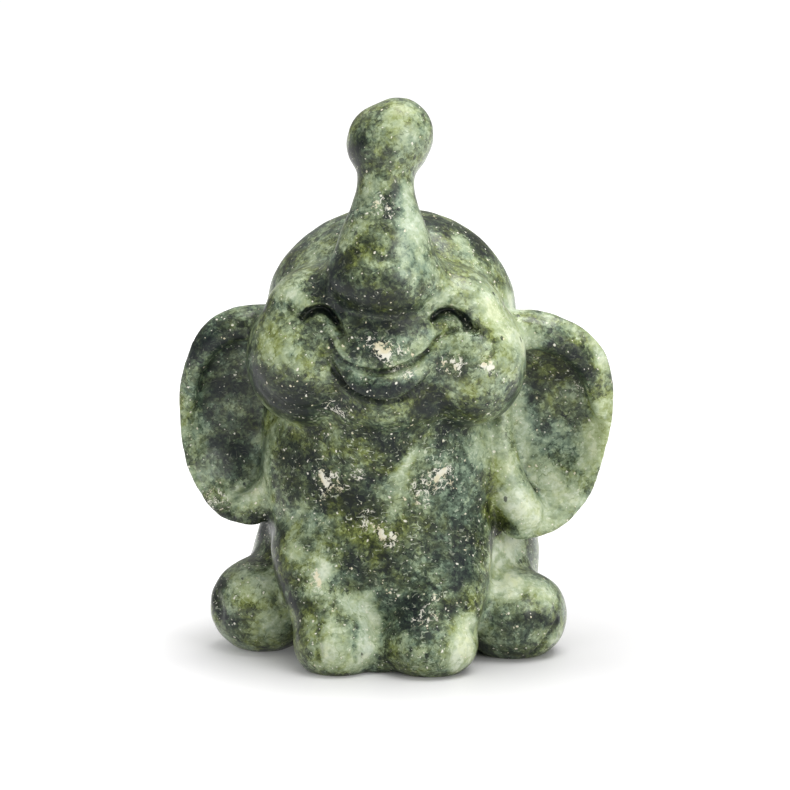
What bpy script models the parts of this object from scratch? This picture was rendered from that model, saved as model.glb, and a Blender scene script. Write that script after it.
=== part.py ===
"""A seated elephant with its trunk raised, carved from one piece of green jade.

Metres, +Z up. The elephant faces -Y, and its own left side is at +X. Run it with
blender --background --python part.py, or from Blender's text editor.

The figure is blocked out the way a carver would see it: round lumps for the body, a face with
full cheeks in front of the head, limbs, a pair of dished ears. The lumps are fused into one
skin in stages, each stage with creases as soft as the stone shows them, and the eyes, the
smile and the folds are then gouged in.
"""

import math

import bmesh
import bpy
import numpy as np
from mathutils import Euler, Matrix, Vector
from mathutils.bvhtree import BVHTree

NAME = "elephant"
HEIGHT = 0.076  # from the table to the top of the trunk's tip
DRAWN_HEIGHT = 76  # the figure's own proportions are drawn this many units tall
UNIT = HEIGHT / DRAWN_HEIGHT

TRIANGLES = 9400  # faces left in the faceted solid
GRAIN = 0.62  # voxel size of the skin
FINE_STEPS = 1  # times that the skin is halved where a gouge goes

BODY_SOFTNESS = 2.2  # how far a crease between two lumps of the body is eased
LIMB_SOFTNESS = 1.0
EAR_SOFTNESS = 0.45

JADE_COLOUR = (0.20, 0.27, 0.15, 1)
JADE_ROUGHNESS = 0.34


def pressed_in(clay, shape):
    """Adds one closed shape to the clay."""
    mesh = bpy.data.meshes.new("lump")
    shape.to_mesh(mesh)
    shape.free()
    clay.from_mesh(mesh)
    bpy.data.meshes.remove(mesh)


def lump(clay, centre, radii, turn=(0, 0, 0)):
    """An egg-shaped lump of clay. turn is in degrees about X, Y and Z."""
    place = (
        Matrix.Translation(Vector(centre) * UNIT)
        @ Euler([math.radians(angle) for angle in turn]).to_matrix().to_4x4()
        @ Matrix.Diagonal((*(radius * UNIT for radius in radii), 1))
    )
    egg = bmesh.new()
    bmesh.ops.create_uvsphere(egg, u_segments=36, v_segments=24, radius=1, matrix=place)
    pressed_in(clay, egg)


def smooth_line(stations, steps=10):
    """A smooth line through stations of two or three sizes each, as numpy rows."""
    stations = np.array(stations, float)
    if np.allclose(stations[0], stations[-1]):
        ends = stations[-2], stations[1]
    else:
        ends = stations[0], stations[-1]
    points = [ends[0], *stations, ends[1]]
    t = np.linspace(0, 1, steps, endpoint=False)[:, None]
    made = [
        0.5
        * (
            2 * b
            + (c - a) * t
            + (2 * a - 5 * b + 4 * c - d) * t**2
            + (3 * b - 3 * c + d - a) * t**3
        )
        for a, b, c, d in zip(points, points[1:], points[2:], points[3:])
    ]
    return np.concatenate([*made, stations[-1:]])


def add_object(name, data):
    made = bpy.data.objects.new(name, data)
    bpy.context.scene.collection.objects.link(made)
    return made


def evaluated_mesh(obj):
    """The object's mesh with its modifiers applied. The object itself is used up."""
    graph = bpy.context.evaluated_depsgraph_get()
    mesh = bpy.data.meshes.new_from_object(obj.evaluated_get(graph))
    bpy.data.objects.remove(obj)
    return mesh


def limb(clay, stations):
    """A round limb through (x, y, z, radius) stations, with a round end at each."""
    curve = bpy.data.curves.new("limb", "CURVE")
    curve.dimensions = "3D"
    curve.bevel_depth = 1  # the stations' radii are then the tube's
    curve.bevel_resolution = 6
    curve.resolution_u = 10
    curve.use_fill_caps = True
    spline = curve.splines.new("BEZIER")
    spline.radius_interpolation = "CARDINAL"
    spline.bezier_points.add(len(stations) - 1)
    for point, (x, y, z, radius) in zip(spline.bezier_points, stations):
        point.co = Vector((x, y, z)) * UNIT
        point.radius = radius * UNIT
        point.handle_left_type = point.handle_right_type = "AUTO"
    clay.from_mesh(evaluated_mesh(add_object("limb", curve)))
    for x, y, z, radius in (stations[0], stations[-1]):
        lump(clay, (x, y, z), (radius,) * 3)


def ear(clay, hollow, floor, rim, saucer):
    """A leaf with a rolled rim.

    hollow is the (x, y, z) of the deepest point and floor the thickness there. rim gives
    (x, y, z, thickness) round the edge. A saucer of 2 is dished all over, and a higher one has a
    flatter floor and a steeper wall.
    """
    reach = smooth_line([*rim, rim[0]]) - np.array((*hollow, floor), float)
    bearing = np.arctan2(reach[:, 2], reach[:, 0])
    order = bearing.argsort()
    bearing, reach = bearing[order], reach[order]
    leaf = bmesh.new()
    bmesh.ops.create_uvsphere(
        leaf, u_segments=96, v_segments=48, radius=1, matrix=Matrix.Rotation(math.pi / 2, 4, "X")
    )
    for vertex in leaf.verts:
        out = min(1, math.hypot(vertex.co.x, vertex.co.z))
        angle = math.atan2(vertex.co.z, vertex.co.x)
        x, y, z, extra = (
            np.interp(angle, bearing, reach[:, i], period=math.tau) for i in range(4)
        )
        thickness = floor + extra * out**saucer
        side = math.copysign(math.sqrt(max(0, 1 - out**8)), vertex.co.y)
        place = (x * out, y * out**saucer + side * thickness / 2, z * out)
        vertex.co = (Vector(hollow) + Vector(place)) * UNIT
    pressed_in(clay, leaf)


def keep_outer_skin(skin):
    """Drops the skins of pockets closed in between the lumps, which don't join the top's."""
    waiting = [max(skin.verts, key=lambda vertex: vertex.co.z)]
    joined = set(waiting)
    while waiting:
        vertex = waiting.pop()
        for edge in vertex.link_edges:
            other = edge.other_vert(vertex)
            if other not in joined:
                joined.add(other)
                waiting.append(other)
    inner = [vertex for vertex in skin.verts if vertex not in joined]
    bmesh.ops.delete(skin, geom=inner, context="VERTS")


def fused(clay, softness):
    """The lumps as one skin of even faces, with the creases between them eased."""
    mesh = bpy.data.meshes.new(NAME)
    clay.to_mesh(mesh)
    clay.free()
    blank = add_object(NAME, mesh)
    skin = blank.modifiers.new("skin", "REMESH")
    skin.mode = "VOXEL"
    skin.voxel_size = GRAIN * UNIT
    ease = blank.modifiers.new("ease", "SMOOTH")
    ease.factor = 0.5
    ease.iterations = round(4 * (softness / GRAIN) ** 2)
    made = bmesh.new()
    made.from_mesh(evaluated_mesh(blank))
    keep_outer_skin(made)
    return made


def body(clay):
    lump(clay, (1.0, 6.5, 12), (19.8, 16, 14))  # rump
    lump(clay, (-0.5, 5.5, 28), (16.8, 14.6, 22))  # back
    lump(clay, (-1.4, -2.4, 24), (16.2, 11.2, 19))  # chest
    lump(clay, (-1.0, -4, 13), (13.6, 10.6, 13))  # belly
    lump(clay, (1.0, -6, 13.5), (9, 9.4, 12))
    lump(clay, (-1.2, -6.4, 31.2), (10.8, 9.0, 8.6))  # throat
    lump(clay, (0.2, 1.5, 46), (17.0, 15, 14.3))  # head
    for side in (-1, 1):
        lump(clay, (side * 13, 4, 7.2), (7.5, 11, 8))  # thigh


def face(clay):
    lump(clay, (-0.8, -8.0, 41.4), (16.5, 9.8, 8.8))
    lump(clay, (-11.1, -9, 41.5), (7.9, 9.2, 8.9))  # cheeks
    lump(clay, (10.4, -9, 41.2), (7.7, 9.2, 9.0))
    lump(clay, (-9.9, -9.5, 48.3), (7.4, 6.5, 5.4), (0, -28, 0))  # brows
    lump(clay, (8.4, -9.5, 48.2), (7.6, 6.5, 5.4), (0, 28, 0))
    lump(clay, (-1, -11.2, 43.2), (11.4, 8.0, 7.4))  # upper lip
    lump(clay, (-0.4, -12, 36.2), (8.5, 6.0, 4.4))  # chin
    limb(
        clay,
        [
            (-7.0, -15.6, 42.0, 1.2),
            (-4.8, -17.1, 39.7, 2.0),
            (-1, -17.8, 39.0, 2.4),
            (2.6, -17.1, 39.8, 2.0),
            (5.0, -15.8, 41.8, 1.2),
        ],
    )


def trunk(clay):
    lump(clay, (-0.8, -12.4, 52.5), (8.1, 7.9, 5.6))
    limb(
        clay,
        [
            (-0.8, -12.0, 52.6, 7.2),
            (-0.6, -12.0, 56.4, 6.6),
            (-0.5, -11.4, 60.6, 5.0),
            (-0.4, -10.6, 65.2, 3.9),
            (-0.2, -9.8, 68.6, 4.3),
        ],
    )
    lump(clay, (-0.2, -9.3, 69.9), (5.5, 5.6, 5.4))
    lump(clay, (1.0, -9.3, 71.1), (4.9, 5.2, 4.9))


def legs(clay):
    limb(
        clay,
        [
            (-10.2, -1.8, 21, 5.6),
            (-10.2, -7.6, 14, 5.6),
            (-8.9, -10.9, 9, 5.0),
            (-7.2, -12.6, 4.4, 5.0),
        ],
    )
    lump(clay, (-7.2, -13.0, 3.7), (5.8, 6.4, 5.1))
    limb(
        clay,
        [(8.2, -1.8, 21, 5.6), (7.6, -7.4, 14, 6.2), (6.4, -10.6, 9, 6.4), (5.5, -13, 4.4, 5.8)],
    )
    lump(clay, (5.3, -13.8, 3.6), (6.6, 6.4, 4.8))
    lump(clay, (-17.2, -0.8, 6.0), (7.4, 7.4, 6.8))
    lump(clay, (16.6, -3.4, 5.2), (7.6, 7.6, 6.4))


def tail(clay):
    limb(
        clay,
        [(0.5, 18.2, 19.5, 2.2), (0.8, 21.2, 13.5, 1.8), (2.2, 21.4, 9, 1.7), (4.0, 20.2, 5.6, 1.9)],
    )


def ears(clay):
    ear(
        clay,
        (-19.2, 1.2, 30.5),
        3.4,
        [
            (-11.0, -2.0, 46.0, 5.0),
            (-17.9, -4.2, 47.8, 5.4),
            (-22.4, -4.8, 46.8, 5.4),
            (-24.9, -4.8, 45.0, 5.0),
            (-26.8, -4.4, 42.0, 4.4),
            (-28.1, -3.4, 37.0, 4.0),
            (-28.3, -3.0, 32.0, 3.8),
            (-27.6, -3.0, 26.0, 3.8),
            (-25.9, -3.6, 22.3, 4.2),
            (-23.2, -4.2, 19.2, 4.6),
            (-20.7, -4.8, 18.2, 5.0),
            (-17.0, -4.4, 18.2, 5.0),
            (-12.0, -1.0, 24.0, 4.0),
            (-10.0, 0, 34.0, 4.0),
        ],
        2.6,
    )
    limb(
        clay,
        [
            (-13, -3.4, 45.4, 2.4),
            (-18, -4.9, 45.3, 2.2),
            (-22.6, -5.2, 43.8, 1.8),
            (-25.8, -4.4, 39.6, 1.3),
            (-26.8, -3.4, 34, 0.9),
        ],
    )
    limb(
        clay,
        [(-15.0, -1.6, 32, 2.0), (-15.1, -2.2, 26, 2.2), (-16.5, -3.2, 21.6, 2.4), (-19.6, -3.8, 20, 1.9)],
    )
    ear(
        clay,
        (20.2, 1.2, 31.5),
        3.4,
        [
            (11.0, -2.0, 45.0, 5.4),
            (18.8, -4.2, 46.9, 6.0),
            (24.9, -4.8, 45.3, 5.6),
            (28.4, -4.4, 42.0, 5.0),
            (29.8, -3.6, 37.2, 4.4),
            (30.0, -3.2, 33.0, 4.0),
            (29.5, -3.0, 29.4, 3.8),
            (28.1, -3.2, 24.0, 4.0),
            (26.2, -3.8, 20.4, 4.4),
            (22.7, -4.6, 17.3, 5.0),
            (18.6, -5.4, 16.0, 5.2),
            (15.6, -5.6, 16.6, 5.0),
            (14.0, -4.4, 20.0, 4.4),
            (13.0, -1.0, 26.0, 4.0),
            (10.0, 0, 34.0, 4.0),
        ],
        2.6,
    )
    limb(
        clay,
        [
            (12.5, -3.4, 44.2, 2.8),
            (17.5, -4.8, 44.3, 2.6),
            (22.4, -5.2, 43.0, 2.1),
            (26.2, -4.8, 39.6, 1.6),
            (28.2, -3.6, 33, 1.0),
        ],
    )
    limb(
        clay,
        [(14.6, -1.8, 35, 2.0), (14.6, -2.8, 30, 2.3), (15.5, -3.8, 24, 2.9), (17.8, -4.6, 19.4, 3.0)],
    )


def laid_on(skin, line):
    """The line's points carried straight back on to the front of the skin."""
    tree = BVHTree.FromBMesh(skin)
    laid = []
    for x, z in line * UNIT:
        hit = tree.ray_cast(Vector((x, -HEIGHT, z)), Vector((0, 1, 0)))[0]
        if hit is not None:
            laid.append(hit)
    return np.array(laid)


def nearest_on(laid, points):
    """For each point, its distance to the line and how far along the line that is, from 0 to 1."""
    apart = np.linalg.norm(points[:, None, :] - laid[None, :, :], axis=2)
    nearest = apart.argmin(axis=1)
    return apart.min(axis=1), nearest / (len(laid) - 1)


def gouge(skin, route, width, depth, taper=0.5):
    """Presses a groove into the skin along a route, or raises a ridge where depth is negative."""
    laid = laid_on(skin, smooth_line(route))
    reach = width * UNIT
    for _ in range(FINE_STEPS):
        near = nearest_on(laid, np.array([v.co for v in skin.verts]))[0] < 1.3 * reach
        skin.verts.index_update()
        edges = [
            e for e in skin.edges if near[e.verts[0].index] and near[e.verts[1].index]
        ]
        bmesh.ops.subdivide_edges(skin, edges=edges, cuts=1, use_grid_fill=True)
    skin.normal_update()
    points = np.array([v.co for v in skin.verts])
    normals = np.array([v.normal for v in skin.verts])
    apart, along = nearest_on(laid, points)
    share = np.clip(1 - (apart / reach) ** 2, 0, 1) ** 2
    share *= np.clip(np.sin(np.pi * along), 0, 1) ** taper
    moved = points - normals * (share * depth * UNIT)[:, None]
    for vertex, place in zip(skin.verts, moved):
        vertex.co = place


def carve(skin):
    gouge(
        skin,
        [(-12.1, 47.4), (-11.3, 48.5), (-9.9, 49.2), (-8.4, 48.9), (-7.1, 47.6), (-6.1, 45.8)],
        1.1,
        1.3,
    )
    gouge(skin, [(4.6, 47.5), (5.4, 48.6), (7.0, 49.2), (8.6, 48.7), (9.8, 47.5), (11.3, 46.4)], 1.2, 1.6)
    gouge(
        skin,
        [
            (-8.1, 45.2),
            (-6.3, 42.6),
            (-3.4, 41.4),
            (-0.6, 41.2),
            (2.4, 41.9),
            (4.8, 43.4),
            (6.2, 45.2),
            (8.4, 46.3),
            (10.6, 46.3),
            (12.3, 45.6),
        ],
        0.9,
        0.7,
    )
    gouge(
        skin,
        [(-8.0, 43.8), (-7.4, 41.2), (-5.6, 38.7), (-3.2, 37.4), (-0.6, 37.0), (2.0, 37.5), (5.6, 40.2)],
        1.0,
        0.8,
    )


def cut_flat(skin):
    """Cuts the underside flat at the table's height."""
    cut = bmesh.ops.bisect_plane(
        skin,
        geom=[*skin.verts, *skin.edges, *skin.faces],
        plane_co=(0, 0, 0),
        plane_no=(0, 0, -1),
        clear_outer=True,
    )
    rim = [e for e in cut["geom_cut"] if isinstance(e, bmesh.types.BMEdge)]
    bmesh.ops.holes_fill(skin, edges=rim)


def stand_on_origin(skin):
    """Brings the figure to its height, over the middle of its own box."""
    points = np.array([v.co for v in skin.verts])
    low, high = points.min(axis=0), points.max(axis=0)
    middle = (low + high) / 2
    bmesh.ops.translate(skin, verts=skin.verts, vec=(-middle[0], -middle[1], -low[2]))
    bmesh.ops.scale(skin, verts=skin.verts, vec=(HEIGHT / (high[2] - low[2]),) * 3)


def faceted(skin, triangles):
    """The same skin in fewer faces, most of them left where it curves most."""
    mesh = bpy.data.meshes.new(NAME)
    bmesh.ops.triangulate(skin, faces=skin.faces)
    skin.to_mesh(mesh)
    skin.free()
    blank = add_object(NAME, mesh)
    thin = blank.modifiers.new("facets", "DECIMATE")
    thin.ratio = triangles / len(mesh.polygons)
    made = bmesh.new()
    made.from_mesh(evaluated_mesh(blank))
    return made


def jade():
    material = bpy.data.materials.new("jade")
    material.use_nodes = True
    surface = material.node_tree.nodes["Principled BSDF"]
    surface.inputs["Base Color"].default_value = JADE_COLOUR
    surface.inputs["Roughness"].default_value = JADE_ROUGHNESS
    surface.inputs["Metallic"].default_value = 0
    return material


def main():
    for obj in list(bpy.data.objects):
        bpy.data.objects.remove(obj)
    clay = bmesh.new()
    body(clay)
    clay = fused(clay, BODY_SOFTNESS)
    for shape in (face, trunk, legs, tail):
        shape(clay)
    clay = fused(clay, LIMB_SOFTNESS)
    ears(clay)
    skin = fused(clay, EAR_SOFTNESS)
    carve(skin)
    skin = faceted(skin, TRIANGLES)
    cut_flat(skin)
    stand_on_origin(skin)
    bmesh.ops.triangulate(skin, faces=skin.faces)
    mesh = bpy.data.meshes.new(NAME)
    skin.to_mesh(mesh)
    skin.free()
    mesh.materials.append(jade())
    mesh.shade_smooth()
    figure = bpy.data.objects.new(NAME, mesh)
    parts = bpy.data.collections.new(NAME)
    bpy.context.scene.collection.children.link(parts)
    parts.objects.link(figure)


if __name__ == "__main__":
    main()
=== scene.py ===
"""The jade elephant's looks: the carved figure in fine detail, its mottled stone and a plain studio.

The file is laid out as a Blender add-on and is run as a script. The world is in metres, with +Z up,
and the elephant faces -Y. The figure is drawn in its own units, 76 of them to its height, and the
routes of its cuts and its coloured patches are (x, z) places carried straight back on to its front.
"""

import math

import bmesh
import bpy
import numpy as np
from bpy.props import FloatProperty, FloatVectorProperty, PointerProperty
from mathutils import Euler, Matrix, Vector, noise
from mathutils.bvhtree import BVHTree


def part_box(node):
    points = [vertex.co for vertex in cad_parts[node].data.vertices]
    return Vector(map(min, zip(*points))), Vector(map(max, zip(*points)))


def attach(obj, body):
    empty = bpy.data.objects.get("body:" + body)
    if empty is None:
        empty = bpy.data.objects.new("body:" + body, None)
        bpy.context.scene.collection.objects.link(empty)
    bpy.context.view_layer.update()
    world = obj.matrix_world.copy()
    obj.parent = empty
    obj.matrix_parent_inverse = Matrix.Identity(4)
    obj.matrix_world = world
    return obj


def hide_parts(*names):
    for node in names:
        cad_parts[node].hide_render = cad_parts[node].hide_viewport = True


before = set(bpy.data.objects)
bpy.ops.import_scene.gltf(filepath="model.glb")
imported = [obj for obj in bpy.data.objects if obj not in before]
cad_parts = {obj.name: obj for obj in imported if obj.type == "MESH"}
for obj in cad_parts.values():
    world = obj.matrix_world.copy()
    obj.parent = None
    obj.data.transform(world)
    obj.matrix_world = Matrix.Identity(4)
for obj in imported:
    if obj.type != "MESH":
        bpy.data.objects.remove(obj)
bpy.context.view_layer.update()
LOW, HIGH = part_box("elephant")

bl_info = {
    "name": "Jade elephant",
    "version": (1, 0, 0),
    "blender": (4, 5, 0),
    "location": "3D View > Sidebar > Elephant",
    "description": "A seated elephant carved from mottled green stone, in a pale studio",
    "category": "Add Mesh",
}

DRAWN_HEIGHT = 76
UNIT = (HIGH[2] - LOW[2]) / DRAWN_HEIGHT
IMAGE_WIDTH = 790  # pixels, and as many high
DRAWN_MIDDLE = (-0.45, -1.3)  # where the drawing's own middle line stands, from the box's middle
FRAME_SHIFT = 2  # pixels by which the frame stands to the right

# Cutting. Lengths are in drawn units
END_TAPER = 0.5  # a lower power keeps a groove deep for longer towards its ends
HAND_WAVE, TOOL_WAVE = 7, 2.2  # widths of the skin's slow and quick unevenness
EAR_FLOOR = 3.4  # thickness at the deepest point of an ear
EAR_SAUCER = 2.6  # how flat an ear's floor is and how steep its wall

# Painting. Lengths are in drawn units
STROKE_FADE = 1.5  # a stroke fades to nothing at so many times its reach
EDGE_WAVE = 3  # width of the waves in the strokes' edges
EDGE_SHAKE, MOST_SHAKE = 0.8, 1.6  # how far an edge wanders, as a share of its reach and at most
STONE_SEED = 7  # settles how the painted clouds' edges wander
TONE_LEVEL = 0.46  # raises or lowers the whole stone's tone

# Studio, in metres
FLOOR_REACH = 6  # from its middle to its sides
SHADE_POOL_MOVE = (-14, 0, 0)  # in drawn units. It sets the floor's painted shadow pool to the right of the figure
SHADE_POOL_EDGE, SHADE_POOL_END = 0.014, 0.078  # from the painted shadow pool's middle, where the floor's painted light starts to brighten and where the pool ends
PAINTED_FLOOR_LIGHT = 0.6  # painted light: how bright the floor glows outside the painted shadow pool
KEY_PLACE, KEY_SIZE = (0.13, 0.0, 0.62), 0.45
FILL_PLACE, FILL_SIZE = (0.40, -0.48, 0.30), 0.40
SIDE_WHITE, TOP_WHITE = 0.36, 0.68  # the room's white at the horizon, and what is added overhead

# Socket numbers of a Mix node for colours
FACTOR, FIRST_COLOUR, SECOND_COLOUR, MIXED_COLOUR = 0, 6, 7, 2


class CarvingSizes(bpy.types.PropertyGroup):
    """How finely the figure is cut. Lengths are in 76ths of its height."""

    grain: FloatProperty(
        name="Grain", description="Width of the skin's faces", default=0.473, min=0.3, max=1.5
    )
    body_softness: FloatProperty(
        name="Body", description="How far the creases between the lumps of the body are eased", default=2.2
    )
    limb_softness: FloatProperty(
        name="Limbs", description="How far the creases round the face and the limbs are eased", default=1.0
    )
    ear_softness: FloatProperty(
        name="Ears", description="How far the creases round the ears are eased", default=0.5
    )
    hand_wobble: FloatProperty(
        name="Hand wobble", description="Height of the slow unevenness left by hand work", default=0.28
    )
    tool_wobble: FloatProperty(
        name="Tool wobble", description="Height of the finer unevenness left by the tools", default=0.09
    )


class JadeColours(bpy.types.PropertyGroup):
    """The stone's colours, in the order of its tones."""

    black_green: FloatVectorProperty(
        name="Black green", description="The darkest veins", subtype="COLOR", default=(0.008, 0.012, 0.010)
    )
    deep_green: FloatVectorProperty(
        name="Deep green", description="The dark clouds", subtype="COLOR", default=(0.028, 0.038, 0.021)
    )
    moss_green: FloatVectorProperty(
        name="Moss green",
        description="The stone's middle tone",
        subtype="COLOR",
        default=(0.078, 0.102, 0.052),
    )
    leaf_green: FloatVectorProperty(
        name="Leaf green", description="The paler clouds", subtype="COLOR", default=(0.17, 0.215, 0.115)
    )
    pale_green: FloatVectorProperty(
        name="Pale green",
        description="The polished pale areas",
        subtype="COLOR",
        default=(0.32, 0.385, 0.24),
    )
    milk_green: FloatVectorProperty(
        name="Milk green", description="The palest crystals", subtype="COLOR", default=(0.55, 0.60, 0.45)
    )
    blue_grey: FloatVectorProperty(
        name="Blue grey",
        description="The cold hue of some dark clouds",
        subtype="COLOR",
        default=(0.82, 0.93, 1.21),
    )
    olive: FloatVectorProperty(
        name="Olive", description="The warm hue of some clouds", subtype="COLOR", default=(1.12, 1.06, 0.52)
    )
    # the fleck colour also whitens the painted highlight on the lower lip
    fleck: FloatVectorProperty(
        name="Fleck", description="The white specks and crusts", subtype="COLOR", default=(0.72, 0.70, 0.60)
    )
    gold_fleck: FloatVectorProperty(
        name="Gold fleck", description="The warmer specks", subtype="COLOR", default=(0.60, 0.52, 0.28)
    )


class StudioSettings(bpy.types.PropertyGroup):
    """The floor, the light and where the camera stands."""

    camera_distance: FloatProperty(
        name="Camera distance", description="From the figure to the camera", default=0.5, unit="LENGTH"
    )
    camera_height: FloatProperty(
        name="Camera angle", description="Above the horizon", default=math.radians(10), unit="ROTATION"
    )
    aim_height: FloatProperty(
        name="Aim height",
        description="Where the camera looks, above the table",
        default=0.0348,
        unit="LENGTH",
    )
    pixels_per_millimetre: FloatProperty(
        name="Scale", description="Pixels to a millimetre of the figure", default=7.38
    )
    key_power: FloatProperty(
        name="Key light", description="The big soft light overhead", default=4.3, unit="POWER"
    )
    fill_power: FloatProperty(
        name="Fill light", description="The weaker light on the right", default=1.9, unit="POWER"
    )
    daylight: FloatProperty(
        name="White room", description="Brightness of the white all round", default=0.73
    )


# Shapes, from lumps of clay to one skin


def pressed_in(clay, shape):
    """Adds one closed shape to the clay."""
    mesh = bpy.data.meshes.new("lump")
    shape.to_mesh(mesh)
    shape.free()
    clay.from_mesh(mesh)
    bpy.data.meshes.remove(mesh)


def lump(clay, centre, radii, turn=(0, 0, 0)):
    """An egg-shaped lump of clay. turn is in degrees about X, Y and Z."""
    place = (
        Matrix.Translation(Vector(centre) * UNIT)
        @ Euler([math.radians(angle) for angle in turn]).to_matrix().to_4x4()
        @ Matrix.Diagonal((*(radius * UNIT for radius in radii), 1))
    )
    egg = bmesh.new()
    bmesh.ops.create_uvsphere(egg, u_segments=48, v_segments=32, radius=1, matrix=place)
    pressed_in(clay, egg)


def smooth_line(stations, steps=10):
    """A smooth line through stations of two or more sizes each, as numpy rows."""
    stations = np.array(stations, float)
    if np.allclose(stations[0], stations[-1]):
        ends = stations[-2], stations[1]
    else:
        ends = stations[0], stations[-1]
    points = [ends[0], *stations, ends[1]]
    t = np.linspace(0, 1, steps, endpoint=False)[:, None]
    made = [
        0.5
        * (
            2 * b
            + (c - a) * t
            + (2 * a - 5 * b + 4 * c - d) * t**2
            + (3 * b - 3 * c + d - a) * t**3
        )
        for a, b, c, d in zip(points, points[1:], points[2:], points[3:])
    ]
    return np.concatenate([*made, stations[-1:]])


def add_object(name, data):
    made = bpy.data.objects.new(name, data)
    bpy.context.scene.collection.objects.link(made)
    return made


def evaluated_mesh(obj):
    """The object's mesh with its modifiers applied. The object itself is used up."""
    graph = bpy.context.evaluated_depsgraph_get()
    mesh = bpy.data.meshes.new_from_object(obj.evaluated_get(graph))
    bpy.data.objects.remove(obj)
    return mesh


def limb(clay, stations):
    """A round limb through (x, y, z, radius) stations, with a round end at each."""
    curve = bpy.data.curves.new("limb", "CURVE")
    curve.dimensions = "3D"
    curve.bevel_depth = 1  # the stations' radii are then the tube's
    curve.bevel_resolution = 8
    curve.resolution_u = 12
    curve.use_fill_caps = True
    spline = curve.splines.new("BEZIER")
    spline.radius_interpolation = "CARDINAL"
    spline.bezier_points.add(len(stations) - 1)
    for point, (x, y, z, radius) in zip(spline.bezier_points, stations):
        point.co = Vector((x, y, z)) * UNIT
        point.radius = radius * UNIT
        point.handle_left_type = point.handle_right_type = "AUTO"
    clay.from_mesh(evaluated_mesh(add_object("limb", curve)))
    for x, y, z, radius in (stations[0], stations[-1]):
        lump(clay, (x, y, z), (radius,) * 3)


def ear(clay, hollow, rim):
    """A leaf with a rolled rim.

    hollow is the (x, y, z) of the deepest point, and rim gives (x, y, z, thickness) round the edge.
    An EAR_SAUCER of 2 dishes it all over, and a higher one has a flatter floor and a steeper wall.
    """
    reach = smooth_line([*rim, rim[0]]) - np.array((*hollow, EAR_FLOOR), float)
    bearing = np.arctan2(reach[:, 2], reach[:, 0])
    order = bearing.argsort()
    bearing, reach = bearing[order], reach[order]
    leaf = bmesh.new()
    bmesh.ops.create_uvsphere(
        leaf, u_segments=128, v_segments=64, radius=1, matrix=Matrix.Rotation(math.pi / 2, 4, "X")
    )
    for vertex in leaf.verts:
        out = min(1, math.hypot(vertex.co.x, vertex.co.z))
        angle = math.atan2(vertex.co.z, vertex.co.x)
        x, y, z, extra = (
            np.interp(angle, bearing, reach[:, i], period=math.tau) for i in range(4)
        )
        thickness = EAR_FLOOR + extra * out**EAR_SAUCER
        side = math.copysign(math.sqrt(max(0, 1 - out**8)), vertex.co.y)
        place = (x * out, y * out**EAR_SAUCER + side * thickness / 2, z * out)
        vertex.co = (Vector(hollow) + Vector(place)) * UNIT
    pressed_in(clay, leaf)


def keep_outer_skin(skin):
    """Drops the skins of pockets closed in between the lumps, which don't join the top's."""
    waiting = [max(skin.verts, key=lambda vertex: vertex.co.z)]
    joined = set(waiting)
    while waiting:
        vertex = waiting.pop()
        for edge in vertex.link_edges:
            other = edge.other_vert(vertex)
            if other not in joined:
                joined.add(other)
                waiting.append(other)
    inner = [vertex for vertex in skin.verts if vertex not in joined]
    bmesh.ops.delete(skin, geom=inner, context="VERTS")


def fused(clay, grain, softness):
    """The lumps as one skin of even faces, with the creases between them eased."""
    mesh = bpy.data.meshes.new("clay")
    clay.to_mesh(mesh)
    clay.free()
    blank = add_object("clay", mesh)
    skin = blank.modifiers.new("skin", "REMESH")
    skin.mode = "VOXEL"
    skin.voxel_size = grain * UNIT
    ease = blank.modifiers.new("ease", "SMOOTH")
    ease.factor = 0.5
    ease.iterations = round(4 * (softness / grain) ** 2)  # so a finer grain is eased as far
    made = bmesh.new()
    made.from_mesh(evaluated_mesh(blank))
    keep_outer_skin(made)
    return made


# The figure's own lumps


def body(clay):
    lump(clay, (1.0, 6.5, 12), (19.8, 16, 14))  # rump
    lump(clay, (-0.5, 5.5, 28), (16.8, 14.6, 22))  # back
    lump(clay, (-1.4, -2.4, 24), (16.2, 11.2, 19))  # chest
    lump(clay, (-1.0, -4, 13), (13.6, 10.6, 13))  # belly
    lump(clay, (1.0, -6, 13.5), (9, 9.4, 12))  # lap
    lump(clay, (-1.2, -6.4, 31.2), (10.8, 9.0, 8.6))  # throat
    lump(clay, (0.2, 1.5, 46), (17.0, 15, 14.3))  # head
    for side in (-1, 1):
        lump(clay, (side * 13, 4, 7.2), (7.5, 11, 8))  # thigh


def face(clay):
    lump(clay, (-0.8, -8.0, 41.4), (16.5, 9.8, 8.8))  # muzzle
    lump(clay, (-11.1, -9, 41.5), (7.9, 9.2, 8.9))  # left cheek, as the viewer sees it
    lump(clay, (10.4, -9, 41.2), (7.7, 9.2, 9.0))  # right cheek
    lump(clay, (-9.9, -9.5, 48.3), (7.4, 6.5, 5.4), (0, -28, 0))  # left brow
    lump(clay, (8.4, -9.5, 48.2), (7.6, 6.5, 5.4), (0, 28, 0))  # right brow
    lump(clay, (-1, -11.2, 43.2), (11.4, 8.0, 7.4))  # upper lip
    lump(clay, (-0.4, -12, 36.2), (8.5, 6.0, 4.4))  # chin
    limb(  # lower lip
        clay,
        [
            (-7.0, -15.6, 42.0, 1.2),
            (-4.8, -17.1, 39.7, 2.0),
            (-1, -17.8, 39.0, 2.4),
            (2.6, -17.1, 39.8, 2.0),
            (5.0, -15.8, 41.8, 1.2),
        ],
    )


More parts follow.
